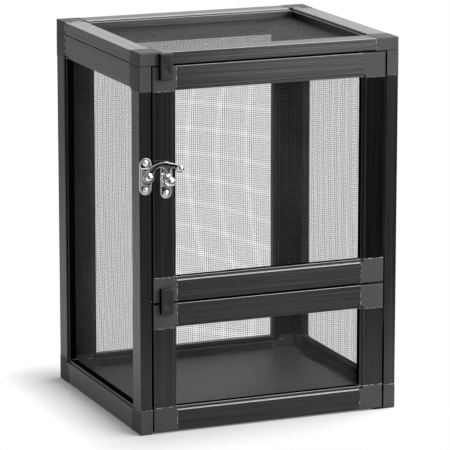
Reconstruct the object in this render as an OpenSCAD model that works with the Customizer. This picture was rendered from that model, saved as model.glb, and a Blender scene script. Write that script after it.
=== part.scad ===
// Front-opening mesh terrarium: seven bar-and-corner-block panels, two doors,
// turn buttons and a horn latch. Millimetres; origin in the middle of the bottom, +Z up,
// the doors face -Y.

/* [Cage] */
// outer width of the cage
cage_w = 290; // [180:1:600]
// outer depth of the cage, without the latch
cage_d = 250; // [150:1:600]
// outer height of the cage
cage_h = 400; // [260:1:1200]
// running gap round each door
door_gap = 1.5; // [1.4:0.1:3]
// gap between the upper door and the roof
top_gap = 1.1; // [1:0.1:3]
// height of the lower door
lower_door_h = 136.5; // [90:0.5:200]
// how much narrower than the others the back panel's top bar is
narrow_top = 8.9; // [0:0.1:9]

/* [Frame bar] */
// thickness of every panel at its corner blocks
bar_t = 13.5; // [12:0.1:20]
// how far the corner blocks stand proud of the bars
proud = 0.4; // [0.2:0.1:0.6]
// width of the bar's plain face, from the panel's outer edge
face_w = 22; // [20:0.1:34]
// chamfer between the plain face and the ledge
edge_c = 1; // [0.6:0.1:1.4]
// width of the ledge beside the mesh
ledge_w = 2.9; // [2.4:0.1:4]
// depth of the ledge below the plain face
ledge_d = 2.2; // [1.6:0.1:2.4]
// radius of the ledge's edge at the window
ledge_r = 0.6; // [0.3:0.1:0.8]
// depth of the mesh behind the front of the blocks
mesh_d = 10; // [9:0.1:10.6]
// wall of the hollow bar
wall = 1.3; // [0.8:0.1:1.6]
// outer edge radius of the bar
edge_r = 0.8; // [0.4:0.1:1.2]
// width of the spline groove
groove_w = 3.4; // [2.6:0.1:3.6]
// depth of the spline groove
groove_d = 4.4; // [3:0.1:5]
// solid lip between the groove and the window
groove_lip = 2.3; // [1.5:0.1:2.5]

/* [Corner block] */
// how far a block reaches past the bars into the window
block_lip = 0.5; // [0.2:0.1:1]
// corner radius of the block seen from its face
block_r = 2; // [1:0.1:4]
// radius of the block's front edges
block_edge_r = 1.6; // [1.5:0.1:2]
// length of each leg inside the bar
leg_l = 16; // [8:0.5:24]
// clearance between leg and bar
leg_gap = 0.15; // [0.1:0.05:0.3]
// lead-in chamfer at the leg's tip
leg_c = 2; // [0.5:0.1:3]

/* [Mesh and spline] */
// spacing of the modelled wires
wire_pitch = 10; // [6:0.5:20]
// thickness of a modelled wire
wire_t = 0.4; // [0.3:0.05:0.8]
// clearance between the two layers of wires
wire_gap = 0.02; // [0.02:0.01:0.05]
// clearance round the spline in its groove
spline_gap = 0.15; // [0.05:0.05:0.3]

/* [Floor plate] */
// thickness of the floor plate
plate_t = 0.8; // [0.5:0.1:2]
// border of the base bars left bare round the plate
plate_border = 12; // [6:0.5:17]
// room between the doors and the base frame
base_room = 3.5; // [3.2:0.1:12]

/* [Hinges] */
// hinge axis to the hinge edge of the door
hinge_side = 8; // [7:0.1:10]
// hinge axis behind the front of the door
hinge_depth = 4; // [3.5:0.1:5]
// radius of a hinge pin
pin_r = 1.5; // [1:0.1:1.8]
// radial clearance of a pin in the door
pin_gap = 0.05; // [0.02:0.01:0.1]
// radial clearance of the top pin in the roof
seat_gap = 0.02; // [0.01:0.01:0.05]
// length of a pin in the door
pin_l = 7; // [4:0.5:10]
// depth left below a pin's end
pin_end_gap = 0.4; // [0.3:0.1:1]
// thickness of the bracket's leaf
leaf_t = 0.8; // [0.6:0.05:0.9]
// depth of the bracket's leaf along the post
leaf_d = 9; // [6:0.5:10]
// reach of the leaf above and below the tongue
leaf_l = 9; // [6:0.5:14]
// thickness of the tongue between the doors
tongue_t = 0.9; // [0.6:0.05:1]
// width of the tongue
tongue_w = 7; // [6:0.1:8]

/* [Turn buttons] */
// width of a turn button
button_w = 13.6; // [8:0.1:16]
// height of a turn button
button_h = 27.2; // [20:0.1:36]
// thickness of a turn button
button_t = 6; // [3:0.1:8]
// chamfer round the button's front
button_c = 0.7; // [0.3:0.1:1.2]
// pivot to the button's upper end
button_top = 5.6; // [4:0.1:6.5]
// pivot to the left side of the cage
button_x = 28.5; // [28.5:0.1:32]
// lower button's pivot above the seam of the doors
button_up = 10; // [6:0.1:14]
// radius of the moulded stud
stud_r = 2.5; // [1.5:0.1:3]
// length of the stud in the frame
stud_l = 8; // [4:0.5:9]
// radial clearance of the stud
stud_gap = 0.05; // [0.02:0.01:0.1]
// gap between button and frame
button_gap = 0.3; // [0.1:0.05:0.6]
// finger dish below the pivot
dish_drop = 11; // [9:0.1:14]
// radius of the finger dish
dish_r = 9; // [6:0.5:14]
// depth of the finger dish
dish_d = 0.8; // [0.3:0.1:1.5]

/* [Latch plates] */
// width of a latch plate
plate_w = 12.9; // [10:0.1:13.2]
// height of a latch plate
plate_h = 38.3; // [30:0.1:46]
// thickness of a latch plate at its rim
rim_t = 1.6; // [1:0.1:2.2]
// width of the raised rim
rim_w = 1.3; // [0.6:0.1:2]
// depth of the panel inside the rim
rim_d = 0.5; // [0.2:0.1:0.8]
// spacing of the plate's screws
screw_pitch = 27.8; // [24:0.1:34]
// radius of a screw head
screw_r = 3.2; // [2:0.1:3.6]
// height of a screw head
screw_h = 1.7; // [1:0.1:2.4]
// height of the latch plate's middle above the floor
latch_z = 273.2; // [210:0.1:330]
// height of the raised pad that carries the arm
pad_h = 17.4; // [13:0.1:20]
// pad's thickness above the frame
pad_t = 3.2; // [2.4:0.1:4]
// how far the catch plate sits below the latch plate
catch_drop = 5; // [3:0.1:8]
// catch plate's middle to the left side of the cage
catch_x = 29.1; // [27:0.1:32]
// height of the catch plate's raised pad
catch_pad_h = 12.4; // [9:0.1:14]

/* [Latch arm] */
// thickness of the arm
arm_t = 2.5; // [1.5:0.1:3]
// clearance between pad and arm
arm_gap = 0.3; // [0.1:0.05:0.5]
// pivot to the left side of the cage
pivot_x = 8.7; // [7.5:0.1:9]
// radius of the arm's eye
eye_r = 6; // [5:0.1:7]
// radius of the bow's outer curve
bow_r = 28.6; // [28:0.1:30]
// centre of the bow, across from the pivot
bow_x = 17.1; // [16:0.1:18]
// centre of the bow, below the pivot
bow_drop = 14.3; // [13.8:0.1:15]
// radius of the first scallop under the bow
scallop_r = 7; // [5.5:0.1:7.4]
// radius of the second scallop
notch_r = 4.9; // [3:0.1:5.2]
// width of the hook's tooth
tooth_w = 3; // [2:0.1:4]
// how far the scallops bite into the tooth's sides
tooth_bite = 0.4; // [0.2:0.1:0.6]
// middle of the first scallop above the pivot
scallop_up = 2.5; // [2:0.1:2.8]
// middle of the second scallop above the pivot
notch_up = 3; // [2.6:0.1:3.4]
// end of the flat arm, across from the pivot
blade_x = 32.4; // [31.8:0.1:33]
// middle of the end ball, across from the pivot
ball_x = 34.6; // [34.2:0.1:35.2]
// middle of the end ball above the pivot
ball_up = 6.6; // [6.2:0.1:7]
// radius of the ball at the arm's end
finial_r = 3.9; // [2.5:0.1:4.5]
// radius of the rivet's dome
dome_r = 4.3; // [3.4:0.1:5]
// height of the rivet's dome
dome_h = 2.6; // [1.5:0.1:3.4]
// radius of the rivet's shank
shank_r = 2.2; // [1.5:0.1:2.8]
// radial clearance of the arm on its shank
shank_gap = 0.06; // [0.02:0.01:0.1]
// radius of the catch knob
knob_r = 5.9; // [4.5:0.1:6.5]
// radius of the knob's neck
neck_r = 2.4; // [1.6:0.1:3]
// how far the knob's front stands out of the cage
knob_reach = 17.3; // [14:0.1:20]
// clearance between tooth and neck
tooth_gap = 0.3; // [0.1:0.05:0.6]

/* [Hidden] */
$fn = 32;
bar_w = face_w + edge_c + ledge_w;
block_w = bar_w + block_lip;
groove_in = bar_w - groove_lip;
groove_out = groove_in - groove_w;
groove_floor = mesh_d - groove_d;
bar_back = bar_t - proud;
hollow_out = proud + wall;
hollow_in = groove_out - wall;
side_h = cage_h - bar_t;
inner_w = cage_w - 2 * bar_t;
door_w = inner_w - 2 * door_gap;
door_x = bar_t + door_gap;
seam_z = door_gap + lower_door_h;
upper_z = seam_z + door_gap;
upper_door_h = side_h - top_gap - upper_z;
base_y = bar_t + base_room;
base_d = cage_d - bar_t - base_y;
shift_x = -cage_w / 2;
shift_y = (knob_reach - cage_d) / 2;
hinge_x = door_x + door_w - hinge_side;
tongue_z = (door_gap - tongue_t) / 2;
wire_mid = (groove_in + groove_out) / 2;
button_z = cage_h - bar_t / 2;
lower_button_z = upper_z + button_up;
latch_x = bar_t / 2;
arm_y = pad_t + arm_gap;
catch_z = latch_z - catch_drop;
tooth_x = catch_x - pivot_x;
tooth_low = -catch_drop + neck_r + tooth_gap;
scallop_x = tooth_x - tooth_w / 2 - scallop_r + tooth_bite;
notch_x = tooth_x + tooth_w / 2 + notch_r - tooth_bite;
cut = 1;

// the bar's section: first number across from the outer edge, second in from the broad face;
// narrow takes that much off its width
module bar_section(narrow) {
  ledge = proud + ledge_d;
  face = face_w - narrow;
  edge = bar_w - narrow;
  tube = groove_out - narrow;
  difference() {
    union() {
      translate([proud + edge_r, proud]) square([tube - proud - edge_r, bar_back - proud]);
      translate([proud, proud + edge_r]) square([tube - proud, bar_back - proud - 2 * edge_r]);
      translate([proud + edge_r, proud + edge_r]) circle(r = edge_r);
      translate([proud + edge_r, bar_back - edge_r]) circle(r = edge_r);
      polygon([[tube - wall / 2, proud], [face, proud], [face + edge_c, proud + edge_c],
        [face + edge_c, ledge], [edge - ledge_r, ledge], [edge, ledge + ledge_r],
        [edge, mesh_d], [tube - wall / 2, mesh_d]]);
      translate([edge - ledge_r, ledge + ledge_r]) circle(r = ledge_r);
    }
    translate([hollow_out, hollow_out]) square([tube - wall - hollow_out, bar_back - wall - hollow_out]);
    translate([tube, groove_floor]) square([groove_w, bar_t]);
  }
}

// a bar along x with its outer edge on y = 0
module bar(length, narrow = 0) {
  rotate([90, 0, 90]) linear_extrude(length) bar_section(narrow);
}

// the two bars along x of a w by h panel
module rails(w, h, narrow = 0) {
  translate([block_w, 0, 0]) bar(w - 2 * block_w);
  translate([block_w, h, 0]) mirror([0, 1, 0]) bar(w - 2 * block_w, narrow);
}

// the two bars along y of a w by h panel
module stiles(w, h, narrow = 0) {
  length = h - 2 * block_w + narrow;
  translate([0, block_w + length, 0]) rotate([0, 0, -90]) bar(length);
  translate([w, block_w, 0]) rotate([0, 0, 90]) bar(length);
}

// a block side seen along its bar: the front outer edge is rounded
module block_side() {
  translate([block_edge_r, 0]) square([block_w - block_edge_r + cut, bar_t]);
  translate([0, block_edge_r]) square([block_w + cut, bar_t - block_edge_r]);
  translate([block_edge_r, block_edge_r]) circle(r = block_edge_r);
}

// a leg in the bar's hollow, from inside the block's side at start to its chamfered tip
module leg(start, narrow) {
  y0 = hollow_out + leg_gap;
  y1 = hollow_in - narrow - leg_gap;
  x1 = start + leg_l;
  translate([0, 0, y0]) linear_extrude(bar_back - wall - leg_gap - y0)
    polygon([[start - cut, y0], [x1 - leg_c, y0], [x1, y0 + leg_c],
      [x1, y1 - leg_c], [x1 - leg_c, y1], [start - cut, y1]]);
}

// a corner block with its outer corner at the origin and a leg along x and along y;
// narrow is what the bar along x lacks in width
module block(narrow = 0) {
  block_h = block_w - narrow;
  ledge_at = face_w + edge_c;
  difference() {
    union() {
      intersection() {
        linear_extrude(bar_t) union() {
          translate([block_r, 0]) square([block_w - block_r, block_h]);
          translate([0, block_r]) square([block_w, block_h - block_r]);
          translate([block_r, block_r]) circle(r = block_r);
        }
        rotate([90, 0, 90]) translate([0, 0, -cut]) linear_extrude(block_w + 2 * cut) block_side();
        translate([0, block_w + cut, 0]) rotate([90, 0, 0]) linear_extrude(block_w + 2 * cut) block_side();
      }
      leg(block_w, narrow);
      mirror([1, -1, 0]) leg(block_h, 0);
    }
    translate([ledge_at, ledge_at - narrow, -cut]) cube([block_w, block_w, proud + ledge_d + cut]);
    translate([groove_out, groove_out - narrow, mesh_d]) cube([block_w, block_w, bar_t]);
    translate([groove_out, groove_out - narrow, groove_floor]) cube([groove_w, block_w, bar_t]);
    translate([groove_out, groove_out - narrow, groove_floor]) cube([block_w, groove_w, bar_t]);
  }
}

// the four blocks of a w by h panel
module blocks(w, h, narrow = 0) {
  block();
  translate([w, 0, 0]) mirror([1, 0, 0]) block();
  translate([0, h, 0]) mirror([0, 1, 0]) block(narrow);
  translate([w, h, 0]) mirror([1, 0, 0]) mirror([0, 1, 0]) block(narrow);
}

// straight wires in two layers over the window, their ends on the spline
module wires(w, h) {
  room_x = w - 2 * bar_w;
  room_y = h - 2 * bar_w;
  nx = floor(room_x / wire_pitch);
  ny = floor(room_y / wire_pitch);
  for (i = [0:nx])
    translate([w / 2 + (i - nx / 2) * wire_pitch - wire_t / 2, wire_mid, mesh_d])
      cube([wire_t, h - 2 * wire_mid, wire_t]);
  for (j = [0:ny])
    translate([wire_mid, h / 2 + (j - ny / 2) * wire_pitch - wire_t / 2, mesh_d + wire_t + wire_gap])
      cube([w - 2 * wire_mid, wire_t, wire_t]);
}

// the spline ring in the grooves
module spline(w, h) {
  o = groove_out + spline_gap;
  i = groove_in - spline_gap;
  translate([0, 0, groove_floor + spline_gap]) linear_extrude(groove_d - 2 * spline_gap) difference() {
    translate([o, o]) square([w - 2 * o, h - 2 * o]);
    translate([i, i]) square([w - 2 * i, h - 2 * i]);
  }
}

// places a panel, drawn flat with its broad face down, in the cage
module at_left() {
  translate([shift_x, shift_y, 0]) rotate([90, 0, 90]) children();
}
module at_right() {
  mirror([1, 0, 0]) at_left() children();
}
module at_back() {
  translate([shift_x + bar_t, shift_y + cage_d, 0]) rotate([90, 0, 0]) children();
}
module at_roof() {
  translate([shift_x, shift_y, cage_h]) mirror([0, 0, 1]) children();
}
module at_base() {
  translate([shift_x + bar_t, shift_y + base_y, 0]) children();
}
module at_door(z) {
  translate([shift_x + door_x, shift_y, z]) mirror([0, 1, 0]) rotate([90, 0, 0]) children();
}
module at_front(x, z) {
  translate([shift_x + x, shift_y, z]) rotate([90, 0, 0]) children();
}
module on_bar(x, z) {
  at_front(x, z) translate([0, 0, -proud]) children();
}

module left_panel_stiles() { color([0.16, 0.16, 0.17]) at_left() stiles(cage_d, side_h); }
module left_panel_rails() { color([0.2, 0.2, 0.21]) at_left() rails(cage_d, side_h); }
module left_panel_corners() { color([0.28, 0.28, 0.3]) at_left() blocks(cage_d, side_h); }
module left_panel_mesh() { color([0.08, 0.08, 0.09]) at_left() wires(cage_d, side_h); }
module left_panel_spline() { color([0.1, 0.1, 0.1]) at_left() spline(cage_d, side_h); }

module right_panel_stiles() { color([0.16, 0.16, 0.17]) at_right() stiles(cage_d, side_h); }
module right_panel_rails() { color([0.2, 0.2, 0.21]) at_right() rails(cage_d, side_h); }
module right_panel_corners() { color([0.28, 0.28, 0.3]) at_right() blocks(cage_d, side_h); }
module right_panel_mesh() { color([0.08, 0.08, 0.09]) at_right() wires(cage_d, side_h); }
module right_panel_spline() { color([0.1, 0.1, 0.1]) at_right() spline(cage_d, side_h); }

module back_panel_stiles() { color([0.16, 0.16, 0.17]) at_back() stiles(inner_w, side_h, narrow_top); }
module back_panel_rails() { color([0.2, 0.2, 0.21]) at_back() rails(inner_w, side_h, narrow_top); }
module back_panel_corners() { color([0.28, 0.28, 0.3]) at_back() blocks(inner_w, side_h, narrow_top); }
module back_panel_mesh() { color([0.08, 0.08, 0.09]) at_back() wires(inner_w, side_h + narrow_top); }
module back_panel_spline() { color([0.1, 0.1, 0.1]) at_back() spline(inner_w, side_h + narrow_top); }

module roof_stiles() { color([0.16, 0.16, 0.17]) at_roof() stiles(cage_w, cage_d); }
module roof_rails() {
  color([0.2, 0.2, 0.21]) difference() {
    at_roof() rails(cage_w, cage_d);
    stud_bore(button_z);
  }
}
module roof_corners() {
  color([0.28, 0.28, 0.3]) difference() {
    at_roof() blocks(cage_w, cage_d);
    stud_bore(button_z);
    pin_bore(side_h, seat_gap);
  }
}
module roof_mesh() { color([0.08, 0.08, 0.09]) at_roof() wires(cage_w, cage_d); }
module roof_spline() { color([0.1, 0.1, 0.1]) at_roof() spline(cage_w, cage_d); }

module base_stiles() { color([0.16, 0.16, 0.17]) at_base() stiles(inner_w, base_d); }
module base_rails() { color([0.2, 0.2, 0.21]) at_base() rails(inner_w, base_d); }
module base_corners() { color([0.28, 0.28, 0.3]) at_base() blocks(inner_w, base_d); }
module floor_plate() {
  color([0.24, 0.24, 0.25]) at_base() translate([plate_border, plate_border, bar_t])
    cube([inner_w - 2 * plate_border, base_d - 2 * plate_border, plate_t]);
}

module upper_door_stiles() { color([0.16, 0.16, 0.17]) at_door(upper_z) stiles(door_w, upper_door_h); }
module upper_door_rails() { color([0.2, 0.2, 0.21]) at_door(upper_z) rails(door_w, upper_door_h); }
module upper_door_corners() {
  color([0.28, 0.28, 0.3]) difference() {
    at_door(upper_z) blocks(door_w, upper_door_h);
    pin_bore(upper_z, pin_gap);
    mirror_z(side_h - top_gap) pin_bore(side_h - top_gap, pin_gap);
    stud_bore(lower_button_z);
  }
}
module upper_door_mesh() { color([0.08, 0.08, 0.09]) at_door(upper_z) wires(door_w, upper_door_h); }
module upper_door_spline() { color([0.1, 0.1, 0.1]) at_door(upper_z) spline(door_w, upper_door_h); }

module lower_door_stiles() { color([0.16, 0.16, 0.17]) at_door(door_gap) stiles(door_w, lower_door_h); }
module lower_door_rails() { color([0.2, 0.2, 0.21]) at_door(door_gap) rails(door_w, lower_door_h); }
module lower_door_corners() {
  color([0.28, 0.28, 0.3]) difference() {
    at_door(door_gap) blocks(door_w, lower_door_h);
    pin_bore(door_gap, pin_gap);
    mirror_z(seam_z) pin_bore(seam_z, pin_gap);
  }
}
module lower_door_mesh() { color([0.08, 0.08, 0.09]) at_door(door_gap) wires(door_w, lower_door_h); }
module lower_door_spline() { color([0.1, 0.1, 0.1]) at_door(door_gap) spline(door_w, lower_door_h); }

// turns what is drawn upward from height z into the same thing downward
module mirror_z(z) {
  translate([0, 0, 2 * z]) mirror([0, 0, 1]) children();
}

// a blind pin bore upward from height z
module pin_bore(z, gap) {
  translate([shift_x + hinge_x, shift_y + hinge_depth, z - cut])
    cylinder(r = pin_r + gap, h = pin_l + pin_end_gap + cut);
}

// a blind bore for a turn button's stud at height z
module stud_bore(z) {
  at_front(button_x, z) translate([0, 0, -stud_l - button_gap])
    cylinder(r = stud_r + stud_gap, h = stud_l + button_gap + cut);
}

// a hinge pin upward from height z
module pin_up(z) {
  translate([shift_x + hinge_x, shift_y + hinge_depth, z]) cylinder(r = pin_r, h = pin_l);
}

module top_hinge_pin() {
  color([0.6, 0.6, 0.62]) {
    translate([shift_x + hinge_x, shift_y + hinge_depth, side_h - top_gap - pin_l])
      cylinder(r = pin_r, h = 2 * pin_l + top_gap);
  }
}

// a tongue in the gap above height z, with its leaf from leaf_low to leaf_high on the post,
// whose side lies recess beyond the corner blocks' side
module bracket(z, leaf_low, leaf_high, recess) {
  post_x = shift_x + cage_w - bar_t + recess;
  back_y = shift_y + hinge_depth - tongue_w / 2;
  translate([shift_x + hinge_x, shift_y + hinge_depth, z + tongue_z]) cylinder(r = tongue_w / 2, h = tongue_t);
  translate([shift_x + hinge_x, back_y, z + tongue_z])
    cube([post_x - leaf_t / 2 - shift_x - hinge_x, tongue_w, tongue_t]);
  translate([post_x - leaf_t, back_y + cut, leaf_low]) cube([leaf_t, leaf_d, leaf_high - leaf_low]);
}

module seam_hinge_bracket() {
  color([0.6, 0.6, 0.62]) union() {
    bracket(seam_z, seam_z - leaf_l, upper_z + leaf_l, proud);
    pin_up(upper_z - tongue_z);
    mirror_z(seam_z + tongue_z) pin_up(seam_z + tongue_z);
  }
}

module bottom_hinge_bracket() {
  color([0.6, 0.6, 0.62]) union() {
    bracket(0, tongue_z, 2 * leaf_l, 0);
    pin_up(door_gap - tongue_z);
  }
}

// a turn button drawn round its pivot, z out of the cage
module turn_button() {
  low = button_top - button_h;
  half = button_w / 2;
  front = button_gap + button_t;
  difference() {
    intersection() {
      translate([-half, low, button_gap]) cube([button_w, button_h, button_t]);
      translate([0, button_top + cut, 0]) rotate([90, 0, 0]) linear_extrude(button_h + 2 * cut)
        polygon([[-half, 0], [half, 0], [half, front - button_c], [half - button_c, front],
          [button_c - half, front], [-half, front - button_c]]);
      translate([-half - cut, 0, 0]) rotate([90, 0, 90]) linear_extrude(button_w + 2 * cut)
        polygon([[low, 0], [button_top, 0], [button_top, front - button_c], [button_top - button_c, front],
          [low + button_c, front], [low, front - button_c]]);
    }
    translate([0, -dish_drop, front + dish_r - dish_d]) sphere(r = dish_r);
  }
  translate([0, 0, -stud_l]) cylinder(r = stud_r, h = stud_l + button_gap + cut);
}

module upper_turn_button() { color([0.12, 0.12, 0.13]) at_front(button_x, button_z) turn_button(); }
module lower_turn_button() { color([0.12, 0.12, 0.13]) at_front(button_x, lower_button_z) turn_button(); }

// an upright slot shape of width w and height h
module obround(w, h) {
  r = w / 2;
  translate([0, h / 2 - r]) circle(r = r);
  translate([0, r - h / 2]) circle(r = r);
  translate([-r, r - h / 2]) square([w, h - w]);
}

// a latch plate with a raised rim and a pad, drawn with z out of the cage
module backplate(raised_h, raised_t) {
  difference() {
    linear_extrude(rim_t) obround(plate_w, plate_h);
    translate([0, 0, rim_t - rim_d]) linear_extrude(rim_d + cut)
      obround(plate_w - 2 * rim_w, plate_h - 2 * rim_w);
  }
  translate([-plate_w / 2, -raised_h / 2, 0]) cube([plate_w, raised_h, rim_t]);
  translate([rim_w - plate_w / 2, -raised_h / 2, 0]) cube([plate_w - 2 * rim_w, raised_h, raised_t]);
}

// a slice of a ball: radius r at its base and height h
module dome(r, h) {
  ball = (r * r + h * h) / (2 * h);
  intersection() {
    translate([0, 0, h - ball]) sphere(r = ball);
    cylinder(r = r + cut, h = h + cut);
  }
}

module latch_plate() { color([0.8, 0.8, 0.82]) on_bar(latch_x, latch_z) backplate(pad_h, pad_t); }
module latch_screws() {
  color([0.85, 0.85, 0.85]) for (s = [-1, 1])
    on_bar(latch_x, latch_z + s * screw_pitch / 2) translate([0, 0, rim_t - rim_d]) dome(screw_r, screw_h);
}
module latch_rivet() {
  color([0.85, 0.85, 0.87]) on_bar(pivot_x, latch_z) union() {
    translate([0, 0, pad_t]) cylinder(r = shank_r, h = arm_t + 2 * arm_gap);
    translate([0, 0, arm_y + arm_t + arm_gap]) dome(dome_r, dome_h);
  }
}

// the arm's outline round its pivot
module arm_outline() {
  difference() {
    union() {
      circle(r = eye_r);
      intersection() {
        translate([bow_x, -bow_drop]) circle(r = bow_r);
        translate([0, tooth_low]) square([blade_x, bow_r]);
      }
    }
    translate([scallop_x, scallop_up]) circle(r = scallop_r);
    translate([scallop_x - scallop_r, -bow_drop]) square([2 * scallop_r - tooth_bite, bow_drop + scallop_up]);
    translate([notch_x, notch_up]) circle(r = notch_r);
    translate([notch_x - notch_r + tooth_bite, -bow_drop]) square([bow_r, bow_drop + notch_up]);
    circle(r = shank_r + shank_gap);
  }
}

module latch_arm() {
  color([0.8, 0.8, 0.82]) on_bar(pivot_x, latch_z) translate([0, 0, arm_y]) union() {
    linear_extrude(arm_t) arm_outline();
    translate([ball_x, ball_up, arm_t / 2]) sphere(r = finial_r);
  }
}

module catch_plate() { color([0.8, 0.8, 0.82]) on_bar(catch_x, catch_z) backplate(catch_pad_h, pad_t); }
module catch_screws() {
  color([0.85, 0.85, 0.85]) for (s = [-1, 1])
    on_bar(catch_x, catch_z + s * screw_pitch / 2) translate([0, 0, rim_t - rim_d]) dome(screw_r, screw_h);
}
module catch_knob() {
  color([0.85, 0.85, 0.87]) on_bar(catch_x, catch_z) union() {
    translate([0, 0, pad_t]) cylinder(r = neck_r, h = knob_reach + proud - pad_t - knob_r);
    translate([0, 0, knob_reach + proud - knob_r]) sphere(r = knob_r);
  }
}

left_panel_stiles();
left_panel_rails();
left_panel_corners();
left_panel_mesh();
left_panel_spline();
right_panel_stiles();
right_panel_rails();
right_panel_corners();
right_panel_mesh();
right_panel_spline();
back_panel_stiles();
back_panel_rails();
back_panel_corners();
back_panel_mesh();
back_panel_spline();
roof_stiles();
roof_rails();
roof_corners();
roof_mesh();
roof_spline();
base_stiles();
base_rails();
base_corners();
floor_plate();
upper_door_stiles();
upper_door_rails();
upper_door_corners();
upper_door_mesh();
upper_door_spline();
lower_door_stiles();
lower_door_rails();
lower_door_corners();
lower_door_mesh();
lower_door_spline();
top_hinge_pin();
seam_hinge_bracket();
bottom_hinge_bracket();
upper_turn_button();
lower_turn_button();
latch_plate();
latch_rivet();
latch_arm();
latch_screws();
catch_plate();
catch_knob();
catch_screws();
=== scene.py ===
"""Dresses the mesh terrarium: woven mesh, spline cords, chrome latch, finishes, light and camera."""

import math

import bmesh
import bpy
import numpy as np
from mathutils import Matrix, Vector
from mathutils.bvhtree import BVHTree


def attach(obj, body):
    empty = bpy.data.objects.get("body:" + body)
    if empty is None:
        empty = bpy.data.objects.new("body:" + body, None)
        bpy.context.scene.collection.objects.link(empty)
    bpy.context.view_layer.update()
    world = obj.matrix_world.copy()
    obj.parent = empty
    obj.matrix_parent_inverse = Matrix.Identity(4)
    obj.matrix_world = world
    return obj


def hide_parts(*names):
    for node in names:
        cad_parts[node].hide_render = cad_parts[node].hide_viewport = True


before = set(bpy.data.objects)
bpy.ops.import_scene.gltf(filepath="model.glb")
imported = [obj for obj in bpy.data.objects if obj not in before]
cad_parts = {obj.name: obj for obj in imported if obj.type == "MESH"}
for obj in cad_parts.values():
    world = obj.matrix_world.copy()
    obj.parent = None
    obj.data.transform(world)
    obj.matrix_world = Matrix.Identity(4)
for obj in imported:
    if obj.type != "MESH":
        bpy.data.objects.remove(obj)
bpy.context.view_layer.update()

bl_info = {
    "name": "Mesh terrarium",
    "version": (1, 0, 0),
    "blender": (4, 5, 0),
    "location": "View3D > Sidebar > Terrarium",
    "description": "Dresses a front-opening mesh terrarium with woven mesh, splines, latch and finishes",
    "category": "Object",
}

MM = 0.001
WINDOW_PANELS = ("left_panel", "right_panel", "back_panel", "roof", "upper_door", "lower_door")
ALL_PANELS = WINDOW_PANELS + ("base",)
BODY_OF_PANEL = {"upper_door": "upper_door", "lower_door": "lower_door"}
PANEL_SOLIDS = ("stiles", "rails", "corners")
HINGES = ("top_hinge_pin", "seam_hinge_bracket", "bottom_hinge_bracket")

# The side panels' wires are this much of the other panels' wires
SIDE_WIRE = 0.86
# The widest gap between two panels that still reads as a black line, where faces are painted black as shade
GAP_REACH = 2.5 * MM
# Edges that bend by more than SHARP are rounded, and faces that bend by less than FLAT are joined
SHARP = math.radians(35)
FLAT = math.radians(1.5)
# Points that lie closer than this count as one, and a ball's pole is a ring of this radius
HAIR = 0.001 * MM
# The width of the rounding on pressed and moulded pieces, and on the cast latch arm
SMALL_ROUNDING = 0.4 * MM
CAST_ROUNDING = 1.1 * MM
# Sizes of the latch that no node's box gives
ARM_FRONT = 1.5 * MM
ARM_TIP = 3 * MM
KNOB_NECK = 2.4 * MM
RIVET_SHANK = 2.2 * MM
RIVET_HEAD = 2.6 * MM
COLLAR_RADIUS = 2.1 * MM
COLLAR_OFFSET = Vector((3.5 * MM, 0.3 * MM, 0.6 * MM))
# The camera stands at the front left, turned to the right and tilted down by these degrees
CAMERA_PLACE = (-1.26664, -3.08339, 0.92339)
CAMERA_TURN = 22.283
CAMERA_TILT = 12.447
# Half the width and depth of the floor that the cage covers, where its shadow is full
COVERED_FLOOR = (0.145, 0.134, 0.0)
# How much a metre to the right takes from a metre to the back, in how far behind the cage a place is
LEAN = 0.6

WHITE = (1.0, 1.0, 1.0, 1.0)
PAPER_WHITE = (0.86, 0.86, 0.86, 1.0)
# Light greys of worn edges, partly painted edge highlights
WORN_METAL_AND_HIGHLIGHT = (0.75, 0.75, 0.76, 1.0)
WORN_PLASTIC_AND_HIGHLIGHT = (0.26, 0.26, 0.27, 1.0)
TORN_EDGE = (0.72, 0.72, 0.72, 1.0)
# Black of painted shade in gaps and reveals, and on the buttons' sides
PAINTED_SHADE_BLACK = (0.003, 0.003, 0.003, 1.0)
SPLINE_BLACK = (0.02, 0.02, 0.021)
HINGE_STEEL = (0.03, 0.03, 0.031)
SCREW_NICKEL = (0.93, 0.93, 0.92)


def node_box(node):
    """Lowest and highest corner of a CAD node, from its own vertices."""
    points = np.array([v.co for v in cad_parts[node].data.vertices])
    return Vector(points.min(axis=0)), Vector(points.max(axis=0))


def middle_of(node):
    """The middle of a CAD node's box."""
    low, high = node_box(node)
    return (low + high) / 2


# Sizes and colours that a user would change


class TerrariumWeave(bpy.types.PropertyGroup):
    """Sizes of the woven mesh and its spline"""
    pitch: bpy.props.FloatProperty(
        name="Wire spacing", description="Distance between neighbouring wires of the mesh",
        default=0.00215, min=0.001, max=0.02, subtype="DISTANCE", unit="LENGTH")
    wire: bpy.props.FloatProperty(
        name="Wire width", description="Width of one wire of the mesh",
        default=0.000267, min=0.0001, max=0.002, subtype="DISTANCE", unit="LENGTH")
    wander: bpy.props.FloatProperty(
        name="Wander", description="How far a wire strays from its straight line",
        default=0.00003, min=0.0, max=0.001, subtype="DISTANCE", unit="LENGTH")
    bow: bpy.props.FloatProperty(
        name="Bow", description="How far all wires of a panel bow together, as stretched mesh does",
        default=0.0011, min=0.0, max=0.005, subtype="DISTANCE", unit="LENGTH")
    cord: bpy.props.FloatProperty(
        name="Spline width", description="Width of the cord that holds the mesh in its groove",
        default=0.0031, min=0.001, max=0.005, subtype="DISTANCE", unit="LENGTH")


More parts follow.
